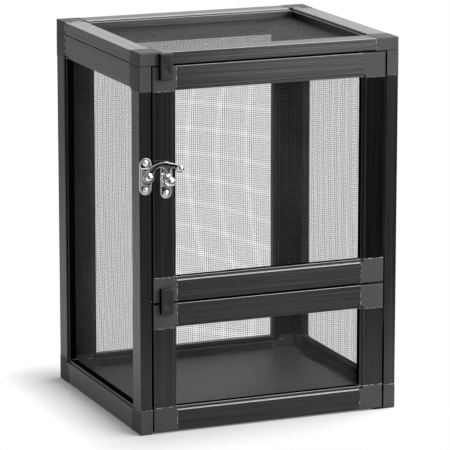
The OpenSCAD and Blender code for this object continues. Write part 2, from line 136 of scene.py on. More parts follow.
class TerrariumFinish(bpy.types.PropertyGroup):
    """Colours of the terrarium's finishes"""
    bar: bpy.props.FloatVectorProperty(
        name="Bar", description="Colour of the anodised bars",
        default=(0.0048, 0.0048, 0.0052), min=0.0, max=1.0, subtype="COLOR")
    block: bpy.props.FloatVectorProperty(
        name="Corner block", description="Colour of the moulded corner blocks",
        default=(0.052, 0.052, 0.053), min=0.0, max=1.0, subtype="COLOR")
    wire: bpy.props.FloatVectorProperty(
        name="Mesh", description="Colour of the woven wire",
        default=(0.042, 0.0406, 0.0442), min=0.0, max=1.0, subtype="COLOR")
    floor: bpy.props.FloatVectorProperty(
        name="Floor plate", description="Colour of the plastic floor plate",
        default=(0.0275, 0.0265, 0.03), min=0.0, max=1.0, subtype="COLOR")
    button: bpy.props.FloatVectorProperty(
        name="Turn button", description="Colour of the turn buttons",
        default=(0.018, 0.018, 0.019), min=0.0, max=1.0, subtype="COLOR")
    chrome: bpy.props.FloatVectorProperty(
        name="Chrome", description="Colour of the latch's plating",
        default=(0.9, 0.9, 0.92), min=0.0, max=1.0, subtype="COLOR")


class TerrariumStage(bpy.types.PropertyGroup):
    """The camera's lens and the strength of the light"""
    lens: bpy.props.FloatProperty(
        name="Lens", description="Focal length of the camera",
        default=255.2, min=20.0, max=600.0, subtype="DISTANCE_CAMERA")
    key_light: bpy.props.FloatProperty(
        name="Key light", description="Power of the light above, to the right",
        default=48.0, min=0.0, max=500.0, subtype="POWER")
    front_light: bpy.props.FloatProperty(
        name="Front light", description="Power of the light at the front right",
        default=6.0, min=0.0, max=500.0, subtype="POWER")
    fill: bpy.props.FloatProperty(
        name="Fill", description="Strength of the even light from all round",
        default=0.3, min=0.0, max=5.0)


# Shader nodes


def put(tree, kind, links=None, **settings):
    """Adds a node, sets its properties and input values, and links its inputs."""
    made = tree.nodes.new(kind)
    for key, value in settings.items():
        setattr(made, key, value)
    for socket, source in (links or {}).items():
        if isinstance(source, bpy.types.NodeSocket):
            tree.links.new(source, made.inputs[socket])
        else:
            made.inputs[socket].default_value = source
    return made


def work_out(tree, operation, first, second=0.0, clamp=False):
    """The result of one operation on two values."""
    return put(tree, "ShaderNodeMath", {0: first, 1: second}, operation=operation, use_clamp=clamp).outputs[0]


def work_out_vector(tree, operation, first, second=None):
    """The result of one operation on vectors; a length or a dot product is a plain value."""
    links = {0: first} if second is None else {0: first, 1: second}
    made = put(tree, "ShaderNodeVectorMath", links, operation=operation)
    return made.outputs["Value" if operation in ("LENGTH", "DOT_PRODUCT") else "Vector"]


def ramp(tree, source, low=0.0, high=1.0, start=0.3, end=0.7):
    """A value that runs from low to high while source runs from start to end."""
    return put(tree, "ShaderNodeMapRange", {0: source, 1: start, 2: end, 3: low, 4: high}).outputs[0]


def mix_colour(tree, factor, low, high):
    """A colour between two, each one a socket or a plain colour."""
    return put(tree, "ShaderNodeMix", {"Factor": factor, 6: low, 7: high}, data_type="RGBA").outputs[2]


def mix_value(tree, factor, low, high):
    """A value between two."""
    return put(tree, "ShaderNodeMix", {"Factor": factor, 2: low, 3: high}).outputs[0]


def mix_shader(tree, factor, low, high):
    """A shader between two."""
    return put(tree, "ShaderNodeMixShader", {0: factor, 1: low, 2: high}).outputs[0]


def noise(tree, where, scale, detail, roughness=0.5):
    """Noise at a place, as a value round 0.5."""
    links = {"Vector": where, "Scale": scale, "Detail": detail, "Roughness": roughness}
    return put(tree, "ShaderNodeTexNoise", links).outputs[0]


def object_place(tree):
    """Coordinates that stay with the object."""
    return put(tree, "ShaderNodeTexCoord").outputs["Object"]


def group(name, inputs, outputs):
    """A new shader node group with its sockets; each input is (name, kind, default)."""
    tree = bpy.data.node_groups.new(name, "ShaderNodeTree")
    for label, kind, default in inputs:
        socket = tree.interface.new_socket(name=label, in_out="INPUT", socket_type=kind)
        socket.default_value = default
    for label, kind in outputs:
        tree.interface.new_socket(name=label, in_out="OUTPUT", socket_type=kind)
    return tree, tree.nodes.new("NodeGroupInput"), tree.nodes.new("NodeGroupOutput")


def give_out(tree, end, **values):
    """Links a group's outputs, which are named as the arguments are."""
    for name, value in values.items():
        tree.links.new(value, end.inputs[name.capitalize()])


# Shared effects


def make_edge_wear_and_highlight():
    """Mask of worn outer edges, broken up by noise, which the finishes also use for painted edge highlights.
    """
    tree, start, end = group(
        "Edge wear",
        [("Width", "NodeSocketFloat", 0.0006), ("Break-up", "NodeSocketFloat", 0.4)],
        [("Mask", "NodeSocketFloat"), ("Normal", "NodeSocketVector")])
    bevel = put(tree, "ShaderNodeBevel", {"Radius": start.outputs["Width"]}, samples=4)
    shape = put(tree, "ShaderNodeNewGeometry")
    bend = work_out_vector(tree, "DOT_PRODUCT", bevel.outputs[0], shape.outputs["Normal"])
    edge = ramp(tree, bend, start=0.995, end=0.86)
    rough = ramp(tree, noise(tree, object_place(tree), 420.0, 3.0), start=0.35, end=0.65)
    keep = work_out(tree, "SUBTRACT", 1.0, work_out(tree, "MULTIPLY", rough, start.outputs["Break-up"]), True)
    give_out(tree, end, mask=work_out(tree, "MULTIPLY", edge, keep, True), normal=bevel.outputs[0])
    return tree


def make_drawn_grain():
    """Fine lines drawn along an extruded bar: a shade round 0.5 and a height."""
    tree, start, end = group(
        "Drawn grain",
        [("Stretch", "NodeSocketVector", (900.0, 900.0, 12.0)), ("Clouds", "NodeSocketFloat", 9.0)],
        [("Shade", "NodeSocketFloat"), ("Height", "NodeSocketFloat"), ("Cloud", "NodeSocketFloat")])
    where = object_place(tree)
    pulled = work_out_vector(tree, "MULTIPLY", where, start.outputs["Stretch"])
    lines = noise(tree, pulled, 1.0, 4.0, roughness=0.62)
    clouds = noise(tree, where, start.outputs["Clouds"], 3.0)
    give_out(tree, end, shade=lines, height=lines, cloud=clouds)
    return tree


def make_mould_grain():
    """Fine matt grain of moulded plastic with faint flow clouds."""
    tree, start, end = group(
        "Mould grain",
        [("Scale", "NodeSocketFloat", 2600.0), ("Clouds", "NodeSocketFloat", 60.0)],
        [("Shade", "NodeSocketFloat"), ("Height", "NodeSocketFloat"), ("Cloud", "NodeSocketFloat")])
    where = object_place(tree)
    scale = start.outputs["Scale"]
    cells = put(tree, "ShaderNodeTexVoronoi", {"Vector": where, "Scale": scale}).outputs[0]
    fine_share = work_out(tree, "MULTIPLY", noise(tree, where, scale, 2.0), 0.6)
    grain = work_out(tree, "ADD", fine_share, work_out(tree, "MULTIPLY", cells, 0.4))
    clouds = noise(tree, where, start.outputs["Clouds"], 4.0)
    give_out(tree, end, shade=grain, height=grain, cloud=clouds)
    return tree


def make_joint_burr():
    """Thin ragged light line where a corner block meets its bars, at two mirrored distances."""
    tree, start, end = group(
        "Joint burr",
        [("Middle", "NodeSocketVector", (0.0, 0.0, 0.0)), ("Reach", "NodeSocketVector", (1.0, 1.0, 1.0)),
         ("Width", "NodeSocketFloat", 0.0005)],
        [("Mask", "NodeSocketFloat")])
    where = object_place(tree)
    off = work_out_vector(tree, "SUBTRACT", where, start.outputs["Middle"])
    size = work_out_vector(tree, "ABSOLUTE", off)
    gap = work_out_vector(tree, "SUBTRACT", size, start.outputs["Reach"])
    away = put(tree, "ShaderNodeSeparateXYZ", {0: work_out_vector(tree, "ABSOLUTE", gap)}).outputs
    near = work_out(tree, "MINIMUM", work_out(tree, "MINIMUM", away[0], away[1]), away[2])
    close = work_out(tree, "SUBTRACT", 1.0, work_out(tree, "DIVIDE", near, start.outputs["Width"]), True)
    torn = ramp(tree, noise(tree, where, 240.0, 4.0), start=0.49, end=0.57)
    give_out(tree, end, mask=work_out(tree, "MULTIPLY", close, torn, True))
    return tree


EFFECTS = {"edge wear": make_edge_wear_and_highlight, "drawn grain": make_drawn_grain,
           "mould grain": make_mould_grain, "joint burr": make_joint_burr}
GROUPS = {}


def place_effect(tree, name, values):
    """Places a shared effect, built on first use, with this material's own values."""
    if name not in GROUPS:
        GROUPS[name] = EFFECTS[name]()
    made = tree.nodes.new("ShaderNodeGroup")
    made.node_tree = GROUPS[name]
    for key, value in values.items():
        made.inputs[key].default_value = value
    return made.outputs


# Finishes


def new_material(name, values):
    """A material with a Principled BSDF whose plain sockets are set from values."""
    made = bpy.data.materials.new(name)
    made.use_nodes = True
    shader = made.node_tree.nodes["Principled BSDF"]
    for key, value in values.items():
        shader.inputs[key].default_value = value
    return made, made.node_tree, shader


def rgba(colour, factor=1.0):
    """A colour times a factor, with its alpha."""
    return (colour[0] * factor, colour[1] * factor, colour[2] * factor, 1.0)


def stretch(axis, along, across):
    """Noise scales that draw a pattern out along one axis."""
    return [along if name == axis else across for name in "XYZ"]


def bump_of(tree, height, strength, distance, normal):
    """A bump over another normal."""
    links = {"Height": height, "Strength": strength, "Distance": distance, "Normal": normal}
    return put(tree, "ShaderNodeBump", links).outputs[0]


def anodised_bar(name, axis, colour, shine=0.5):
    """Satin black anodised aluminium with fine lines along the bar's axis, faintly worn edges and painted
    highlights on upper edges and bevels.
    """
    made, tree, shader = new_material(
        name, {"Metallic": 0.0, "Anisotropic": 0.8, "Specular IOR Level": shine})
    around = put(tree, "ShaderNodeTangent", direction_type="RADIAL", axis=axis)
    tree.links.new(around.outputs[0], shader.inputs["Tangent"])
    grain = place_effect(tree, "drawn grain", {"Stretch": stretch(axis, along=14.0, across=1100.0)})
    bands = place_effect(tree, "drawn grain", {"Stretch": stretch(axis, along=1.6, across=210.0)})
    wear_and_highlight = place_effect(tree, "edge wear", {"Width": 0.7 * MM, "Break-up": 0.35})
    lines = ramp(tree, grain["Shade"])
    base = mix_colour(tree, lines, rgba(colour, 0.6), rgba(colour, 1.5))
    streaks = ramp(tree, bands["Shade"], start=0.42, end=0.7)
    base = mix_colour(tree, streaks, base, rgba(colour, 3.0))
    base = mix_colour(tree, ramp(tree, grain["Cloud"], low=0.0, high=0.4), base, rgba(colour, 1.7))
    facing = put(tree, "ShaderNodeNewGeometry").outputs["Normal"]
    upward = put(tree, "ShaderNodeSeparateXYZ", {0: facing}).outputs[2]
    # Painted highlight: the bars that run across the front catch the most light on their upper edges and
    # bevels, so these are painted lightest
    edge_light, bevel_light = (1.6, 0.42) if axis == "X" else (0.7, 0.12)
    painted_top_light = ramp(tree, upward, low=0.25, high=edge_light, start=0.2, end=0.7)
    past_upright = ramp(tree, upward, start=0.3, end=0.5)
    short_of_flat = ramp(tree, upward, low=1.0, high=0.0, start=0.9, end=0.98)
    painted_bevel_highlight = work_out(tree, "MULTIPLY", past_upright, short_of_flat)
    painted_bevel_highlight = work_out(tree, "MULTIPLY", painted_bevel_highlight, bevel_light)
    # Painted highlight: upward edges and bevels are lightened toward light grey, together with the worn edges
    share = work_out(tree, "ADD", work_out(tree, "MULTIPLY", wear_and_highlight["Mask"], painted_top_light), painted_bevel_highlight, True)
    tree.links.new(mix_colour(tree, share, base, WORN_METAL_AND_HIGHLIGHT), shader.inputs["Base Color"])
    tree.links.new(ramp(tree, grain["Shade"], low=0.27, high=0.36), shader.inputs["Roughness"])
    waves = bump_of(tree, bands["Height"], strength=0.6, distance=0.9 * MM, normal=wear_and_highlight["Normal"])
    bump = bump_of(tree, grain["Height"], strength=0.1, distance=0.2 * MM, normal=waves)
    tree.links.new(bump, shader.inputs["Normal"])
    return made


def lightless(name):
    """Flat black, painted shade, for faces that lie inside a narrow gap or in deep shade."""
    return new_material(name, {"Roughness": 0.95, "Base Color": PAINTED_SHADE_BLACK, "Specular IOR Level": 0.0})[0]


def moulded_plastic(name, colour, burr=None, rough=(0.5, 0.66), clouds=60.0):
    """Matt grained plastic; burr gives the middle and reach of its torn joint lines."""
    made, tree, shader = new_material(name, {"Specular IOR Level": 0.3})
    grain = place_effect(tree, "mould grain", {"Clouds": clouds})
    wear_and_highlight = place_effect(tree, "edge wear", {"Width": 0.8 * MM, "Break-up": 0.5})
    speckle = ramp(tree, grain["Shade"])
    base = mix_colour(tree, speckle, rgba(colour, 0.78), rgba(colour, 1.22))
    base = mix_colour(tree, ramp(tree, grain["Cloud"], low=0.0, high=0.5), base, rgba(colour, 1.4))
    # Edges lightened toward grey: partly worn edges, partly painted edge highlight
    base = mix_colour(tree, work_out(tree, "MULTIPLY", wear_and_highlight["Mask"], 0.45), base, WORN_PLASTIC_AND_HIGHLIGHT)
    if burr:
        line = place_effect(tree, "joint burr", {"Middle": burr[0], "Reach": burr[1]})
        base = mix_colour(tree, line["Mask"], base, TORN_EDGE)
    tree.links.new(base, shader.inputs["Base Color"])
    tree.links.new(ramp(tree, grain["Cloud"], *rough), shader.inputs["Roughness"])
    bump = bump_of(tree, grain["Height"], strength=0.22, distance=0.2 * MM, normal=wear_and_highlight["Normal"])
    tree.links.new(bump, shader.inputs["Normal"])
    return made


def woven_wire(name, colour):
    """Matt black coated wire with a little sheen where the coating is thin."""
    made, tree, shader = new_material(name, {"Specular IOR Level": 0.5})
    grain = place_effect(tree, "mould grain", {"Scale": 900.0, "Clouds": 25.0})
    thin = ramp(tree, grain["Cloud"])
    base = mix_colour(tree, thin, rgba(colour, 0.8), rgba(colour, 1.8))
    tree.links.new(base, shader.inputs["Base Color"])
    tree.links.new(ramp(tree, grain["Shade"], low=0.24, high=0.36), shader.inputs["Roughness"])
    return made


def chromed(name, colour, rough=(0.03, 0.07), metallic=1.0):
    """Polished chrome plating with faint smears."""
    made, tree, shader = new_material(name, {"Metallic": metallic})
    grain = place_effect(tree, "mould grain", {"Scale": 500.0, "Clouds": 140.0})
    smears = ramp(tree, grain["Cloud"])
    base = mix_colour(tree, smears, rgba(colour, 0.93), rgba(colour, 1.0))
    tree.links.new(base, shader.inputs["Base Color"])
    tree.links.new(ramp(tree, grain["Cloud"], *rough), shader.inputs["Roughness"])
    return made


# Finishes on the frame's own nodes


def dress(node, material):
    """Gives a CAD node its material in every slot."""
    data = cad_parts[node].data
    data.materials.clear()
    data.materials.append(material)


def dress_faces(data, material, wanted):
    """Adds a material to a mesh and gives it to each face that wanted(face) picks."""
    slot = len(data.materials)
    data.materials.append(material)
    for face in data.polygons:
        if wanted(face):
            face.material_index = slot


def solid_tree(nodes):
    """A search tree of the faces of some CAD nodes."""
    points, faces = [], []
    for node in nodes:
        data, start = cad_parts[node].data, len(points)
        points += [v.co.copy() for v in data.vertices]
        faces += [[start + i for i in face.vertices] for face in data.polygons]
    return BVHTree.FromPolygons(points, faces)


def looks_inward(face, middle, axis):
    """Whether a face looks squarely along an axis, to the side where middle lies."""
    turn = face.normal.dot(axis)
    return turn * (middle - face.center).dot(axis) > 0 and abs(turn) > 0.95


def shade_reveals(panel, material):
    """Gives the bars' faces that look straight into the panel's window a dark material, painted shade from
    the mesh.
    """
    _, across, along, _, _, _ = panel_frame(panel)
    middle = middle_of(panel + "_mesh")
    for kind, axis in (("stiles", across), ("rails", along)):
        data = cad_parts[panel + "_" + kind].data
        dress_faces(data, material, lambda face: looks_inward(face, middle, axis))


def in_gap(data, face, others, most):
    """Whether a face's middle and corners look at a near solid: all of them, or with most over half."""
    inset, lift = 0.05, 0.01 * MM
    spots = [face.center] + [data.vertices[i].co.lerp(face.center, inset) for i in face.vertices]
    met = [any(tree.ray_cast(spot + face.normal * lift, face.normal, GAP_REACH)[0] for tree in others)
           for spot in spots]
    return all(met) or (most and 2 * sum(met) > len(met))


def blacken_gaps(material):
    """Gives the faces that look across a narrow gap at another panel the lightless material, painted shade
    inside the gap.
    """
    trees = {panel: solid_tree([panel + "_" + kind for kind in PANEL_SOLIDS]) for panel in ALL_PANELS}
    trees["hinges"] = solid_tree(HINGES)
    for panel in ALL_PANELS:
        others = [tree for name, tree in trees.items() if name != panel]
        for kind in PANEL_SOLIDS:
            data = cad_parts[panel + "_" + kind].data
            dress_faces(data, material, lambda face: in_gap(data, face, others, kind == "corners"))


# Shapes


def mesh_piece(name, points, faces, material, body):
    """A new smooth object that rides on a body; all its faces have the same number of corners."""
    data = bpy.data.meshes.new(name)
    points, faces = np.asarray(points, np.float32), np.asarray(faces, np.int32)
    data.vertices.add(len(points))
    data.vertices.foreach_set("co", points.ravel())
    data.loops.add(faces.size)
    data.loops.foreach_set("vertex_index", faces.ravel())
    data.polygons.add(len(faces))
    data.polygons.foreach_set("loop_start", np.arange(len(faces), dtype=np.int32) * faces.shape[1])
    data.update(calc_edges=True)
    data.validate()
    data.shade_smooth()
    data.materials.append(material)
    made = bpy.data.objects.new(name, data)
    bpy.context.scene.collection.objects.link(made)
    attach(made, body)
    return made


def sweep(paths, across, up, sides):
    """(points, faces) of tubes along n paths of m points; across and up are the section's radii."""
    n, m, _ = paths.shape
    ring = []
    for k in range(sides):
        turn = 2 * math.pi * k / sides + math.pi / 2
        ring.append(paths + across * math.cos(turn) + up * math.sin(turn))
    points = np.stack(ring, axis=2).reshape(-1, 3)
    i, j, k = np.meshgrid(np.arange(n), np.arange(m - 1), np.arange(sides), indexing="ij")
    a = (i * m + j) * sides + k
    b = (i * m + j) * sides + (k + 1) % sides
    faces = np.stack([a, b, b + sides, a + sides], axis=-1).reshape(-1, 4)
    return points, faces


def panel_frame(panel):
    """(origin, width axis, height axis, inward axis, width, height) of a panel's wires,
    from its CAD mesh node."""
    low, high = node_box(panel + "_mesh")
    size = high - low
    thin = min(range(3), key=lambda a: size[a])
    wide, tall = [a for a in range(3) if a != thin]
    inward = Vector()
    inward[thin] = 1.0 if (low + high)[thin] / 2 > middle_of(panel + "_stiles")[thin] else -1.0
    origin = low.copy()
    origin[thin] = low[thin] if inward[thin] > 0 else high[thin]
    axes = []
    for a in (wide, tall):
        axis = Vector()
        axis[a] = 1.0
        axes.append(axis)
    return origin, axes[0], axes[1], inward, size[wide], size[tall]


def spaced(length, pitch):
    """Places a pitch apart that lie centred in a length."""
    count = int(length / pitch)
    return (length - (count - 1) * pitch) / 2 + np.arange(count) * pitch


def strayed(places, stops, weave, seed):
    """Sideways places, wire by wire and stop by stop, of wires that stray, drift and bow together."""
    short_wave, long_wave, drift_step, bow_run = 31 * MM, 83 * MM, 0.16, 2.2
    phase = seed.uniform(0, 2 * math.pi, (len(places), 1))
    drift = np.cumsum(seed.normal(0, drift_step, (len(places), 1)), axis=0)
    stray = weave.wander * (np.sin(stops / short_wave + phase * 0.6) + np.sin(stops / long_wave + drift))
    bow = weave.bow * np.sin(bow_run * stops / stops[-1] + seed.uniform(0, 2 * math.pi))
    share = 1.0 + 0.5 * np.cos(math.pi * places[:, None] / places[-1])
    return places[:, None] + stray + bow * share


def weave_panel(panel, weave, material):
    """The plain-woven mesh of one panel, real wires over and under each other."""
    origin, across, along, inward, width, height = (
        np.array(v) if isinstance(v, Vector) else v for v in panel_frame(panel))
    wire = weave.wire * (SIDE_WIRE if panel in ("left_panel", "right_panel") else 1.0)
    lift, middle, section = wire * 0.5, wire * 1.05, wire * 0.6
    seed = np.random.default_rng(sum(ord(c) for c in panel))
    us, vs = spaced(width, weave.pitch), spaced(height, weave.pitch)
    over = 1.0 - 2.0 * ((np.arange(len(us))[:, None] + np.arange(len(vs))[None, :]) % 2)
    points, faces, count = [], [], 0
    for places, crossings, length, aside, onward, sign in (
            (us, vs, height, across, along, over), (vs, us, width, along, across, -over.T)):
        stops = np.concatenate([[0.0], crossings, [length]])
        side = strayed(places, stops, weave, seed)
        rise = np.pad(sign, ((0, 0), (1, 1))) * lift + middle
        path = (origin + side[..., None] * aside
                + np.broadcast_to(stops, side.shape)[..., None] * onward + rise[..., None] * inward)
        tube_points, tube_faces = sweep(path, aside * section, inward * section, 3)
        points.append(tube_points)
        faces.append(tube_faces + count)
        count += len(tube_points)
    made = mesh_piece(panel + "_woven_mesh", np.concatenate(points), np.concatenate(faces), material,
                      BODY_OF_PANEL.get(panel, "cage"))
    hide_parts(panel + "_mesh")
    return made


def cord_ring(panel, weave, material):
    """The round spline cord of one panel, laid in its groove with rounded corners."""
    low, high = node_box(panel + "_spline")
    _, across, along, inward, _, _ = panel_frame(panel)
    size = high - low
    half_w, half_h = abs(size.dot(across)) / 2, abs(size.dot(along)) / 2
    centre = middle_of(panel + "_spline")
    radius, bend, steps, sides = weave.cord / 2, 3 * MM, 4, 10
    path = []
    for sx, sy, start in ((1, 1, 0), (-1, 1, 90), (-1, -1, 180), (1, -1, 270)):
        for step in range(steps + 1):
            turn = math.radians(start + 90 * step / steps)
            path.append((sx * (half_w - radius - bend) + bend * math.cos(turn),
                         sy * (half_h - radius - bend) + bend * math.sin(turn), turn))
    points = []
    for x, y, turn in path:
        out = across * math.cos(turn) + along * math.sin(turn)
        at = centre + across * x + along * y
        for k in range(sides):
            a = 2 * math.pi * k / sides
            points.append(at + (out * math.cos(a) + inward * math.sin(a)) * radius)
    n = len(path)
    faces = [[i * sides + k, i * sides + (k + 1) % sides,
              (i + 1) % n * sides + (k + 1) % sides, (i + 1) % n * sides + k]
             for i in range(n) for k in range(sides)]
    made = mesh_piece(panel + "_spline_cord", points, faces, material, BODY_OF_PANEL.get(panel, "cage"))
    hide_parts(panel + "_spline")
    return made


def softened_copy(node, name, width, material, body, segments=3, weight=None):
    """A copy of a CAD node with its flat faces joined and its edges rounded;
    weight(edge) gives each sharp edge's share of the width."""
    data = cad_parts[node].data.copy()
    data.name = name
    work = bmesh.new()
    work.from_mesh(data)
    bmesh.ops.remove_doubles(work, verts=work.verts, dist=HAIR)
    bmesh.ops.dissolve_limit(work, angle_limit=FLAT, verts=work.verts, edges=work.edges)
    if weight:
        shares = work.edges.layers.float.new("bevel_weight_edge")
        for edge in work.edges:
            if len(edge.link_faces) == 2 and edge.calc_face_angle() > SHARP:
                edge[shares] = weight(edge)
    work.to_mesh(data)
    work.free()
    data.materials.clear()
    data.materials.append(material)
    made = bpy.data.objects.new(name, data)
    bpy.context.scene.collection.objects.link(made)
    bevel = made.modifiers.new("Rounded edges", "BEVEL")
    bevel.width = width
    bevel.segments = segments
    bevel.limit_method = "WEIGHT" if weight else "ANGLE"
    bevel.use_clamp_overlap = not weight
    bevel.angle_limit = SHARP
    bevel.harden_normals = True
    data.shade_smooth()
    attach(made, body)
    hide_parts(node)
    return made


def turned(name, profile, place, material, body, steps=64, relief=None):
    """A turned piece: (distance out, radius) pairs revolved round the -Y axis at place;
    relief(x, z) sinks its surface where it is asked to."""
    points, faces = [], []
    for out, r in profile:
        for k in range(steps):
            a = 2 * math.pi * k / steps
            x, z = r * math.cos(a), r * math.sin(a)
            sunk = relief(x, z) if relief else 0.0
            points.append((place[0] + x, place[1] - out + sunk, place[2] + z))
    for i in range(len(profile) - 1):
        for k in range(steps):
            beside = (k + 1) % steps
            faces.append([i * steps + k, (i + 1) * steps + k, (i + 1) * steps + beside, i * steps + beside])
    return mesh_piece(name, points, faces, material, body)


def ball_profile(middle, radius, start=-90.0, rings=28):
    """(distance out, radius) pairs of a ball from a latitude to its front."""
    turns = [math.radians(start + (90.0 - start) * k / rings) for k in range(rings + 1)]
    return [(middle + radius * math.sin(t), max(radius * math.cos(t), HAIR)) for t in turns]


def dome_profile(base, radius, height, rings=26):
    """(distance out, radius) pairs of a low dome that stands on base."""
    ball = (radius * radius + height * height) / (2 * height)
    start = math.degrees(math.asin((ball - height) / ball))
    return ball_profile(base + height - ball, ball, start, rings)


def cross_recess(x, z, arm=1.7 * MM, half=0.36 * MM, depth=0.7 * MM):
    """Depth of a screw's cross recess at (x, z) from its middle."""
    near = max(abs(x), abs(z))
    off = min(abs(x), abs(z))
    across = min(max((half - off) / (0.4 * half) + 0.5, 0.0), 1.0)
    return depth * across * min(max((arm - near) / (0.5 * arm), 0.0), 1.0)


# Operators: one for each piece or group of like pieces


class TERRARIUM_OT_bars(bpy.types.Operator):
    """Finish the extruded bars of every panel"""
    bl_idname = "terrarium.bars"
    bl_label = "Bars"

    def execute(self, context):
        colour = context.scene.terrarium_finish.bar
        # Painted light and shade: one anodised black, made darker on bars along x and lighter on bars along y
        # and z, as the light falls on them
        along_x, along_y, along_z = (
            anodised_bar("bar along " + axis.lower(), axis, rgba(colour, share))
            for axis, share in (("X", 0.6), ("Y", 0.9), ("Z", 1.5)))
        for panels, lengthwise, crosswise in (
                (("left_panel", "right_panel"), along_z, along_y),
                (("back_panel", "upper_door", "lower_door"), along_z, along_x),
                (("roof", "base"), along_y, along_x)):
            for panel in panels:
                dress(panel + "_stiles", lengthwise)
                dress(panel + "_rails", crosswise)
        self.upright_bars(colour)
        reveal = lightless("shaded reveal")
        for panel in ("left_panel", "right_panel", "upper_door", "lower_door"):
            shade_reveals(panel, reveal)
        return {"FINISHED"}

    @staticmethod
    def upright_bars(colour):
        """Paints light and shade on some upright bars: lighter, darker or much darker copies of their black,
        as the light leaves them.
        """
        bright = anodised_bar("painted_light bar along z", "Z", rgba(colour, 2.0), shine=0.78)
        painted_shade = anodised_bar("dull bar along z", "Z", rgba(colour, 0.5), shine=0.25)
        painted_deep_shade = anodised_bar("deep bar along z", "Z", rgba(colour, 0.15), shine=0.02)
        dress("right_panel_stiles", bright)
        dress("back_panel_stiles", painted_shade)
        # Painted light on the faces the light reaches, painted shade on those it leaves
        for node, material, wanted in (
                ("left_panel_stiles", bright, lambda face: face.center.y < 0 and face.normal.x < -0.5),
                ("upper_door_stiles", painted_shade, lambda face: face.center.x > 0),
                ("back_panel_stiles", painted_deep_shade, lambda face: face.center.y > 0 and face.normal.y < -0.3),
                ("right_panel_stiles", painted_deep_shade, lambda face: face.center.y > 0 and face.normal.x < -0.3)):
            dress_faces(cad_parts[node].data, material, wanted)


class TERRARIUM_OT_corner_blocks(bpy.types.Operator):
    """Finish the moulded corner blocks of every panel"""
    bl_idname = "terrarium.corner_blocks"
    bl_label = "Corner blocks"

    def execute(self, context):
        colour = context.scene.terrarium_finish.block
        for panel in ALL_PANELS:
            low, high = node_box(panel + "_corners")
            burr = (middle_of(panel + "_corners"), self.joint_reach(panel, (high - low) / 2))
            dress(panel + "_corners", moulded_plastic(panel + " corner plastic", colour, burr))
        # Painted shade: faces in the narrow gaps between panels are made flat black
        blacken_gaps(lightless("lightless gap"))
        return {"FINISHED"}

    @staticmethod
    def joint_reach(panel, half, no_joint=9.0, block=10 * MM):
        """How far from the panel's middle its bars end at the blocks, along each axis."""
        reach = Vector((no_joint, no_joint, no_joint))
        for kind in ("_rails", "_stiles"):
            low, high = node_box(panel + kind)
            for axis in range(3):
                bar = (high[axis] - low[axis]) / 2
                if half[axis] - bar > block:
                    reach[axis] = bar
        return reach


class TERRARIUM_OT_mesh_panels(bpy.types.Operator):
    """Weave the mesh of every panel"""
    bl_idname = "terrarium.mesh_panels"
    bl_label = "Mesh panels"

    def execute(self, context):
        colour = context.scene.terrarium_finish.wire
        upright = woven_wire("black woven wire", colour)
        # Painted shade: the roof has the same wire, made darker
        painted_shade_roof_wire = woven_wire("roof woven wire painted shade", rgba(colour, 0.6))
        for panel in WINDOW_PANELS:
            weave_panel(panel, context.scene.terrarium_weave, painted_shade_roof_wire if panel == "roof" else upright)
        return {"FINISHED"}


class TERRARIUM_OT_spline_cords(bpy.types.Operator):
    """Lay the spline cords in their grooves"""
    bl_idname = "terrarium.spline_cords"
    bl_label = "Spline cords"

    def execute(self, context):
        material = moulded_plastic("spline rubber", SPLINE_BLACK, rough=(0.6, 0.8))
        for panel in WINDOW_PANELS:
            cord_ring(panel, context.scene.terrarium_weave, material)
        return {"FINISHED"}


class TERRARIUM_OT_floor_plate(bpy.types.Operator):
    """Finish the plastic floor plate"""
    bl_idname = "terrarium.floor_plate"
    bl_label = "Floor plate"

    def execute(self, context):
        colour = context.scene.terrarium_finish.floor
        dress("floor_plate", moulded_plastic("floor sheet", colour, rough=(0.5, 0.56), clouds=9.0))
        return {"FINISHED"}


class TERRARIUM_OT_turn_buttons(bpy.types.Operator):
    """Finish the two turn buttons"""
    bl_idname = "terrarium.turn_buttons"
    bl_label = "Turn buttons"

    def execute(self, context):
        material = moulded_plastic("button plastic", context.scene.terrarium_finish.button)
        shaded = lightless("button side painted shadow")
        for which in ("upper", "lower"):
            node = which + "_turn_button"
            made = softened_copy(node, node + "_moulding", SMALL_ROUNDING, material, node)
            # Painted shadow: the buttons' left sides and undersides are flat black
            dress_faces(made.data, shaded, lambda face: face.normal.x < -0.9 or face.normal.z < -0.9)
        return {"FINISHED"}


class TERRARIUM_OT_hinges(bpy.types.Operator):
    """Finish the hinge pin and brackets"""
    bl_idname = "terrarium.hinges"
    bl_label = "Hinges"

    def execute(self, context):
        material = chromed("blackened hinge steel", HINGE_STEEL, rough=(0.4, 0.55))
        for node in HINGES:
            dress(node, material)
        return {"FINISHED"}


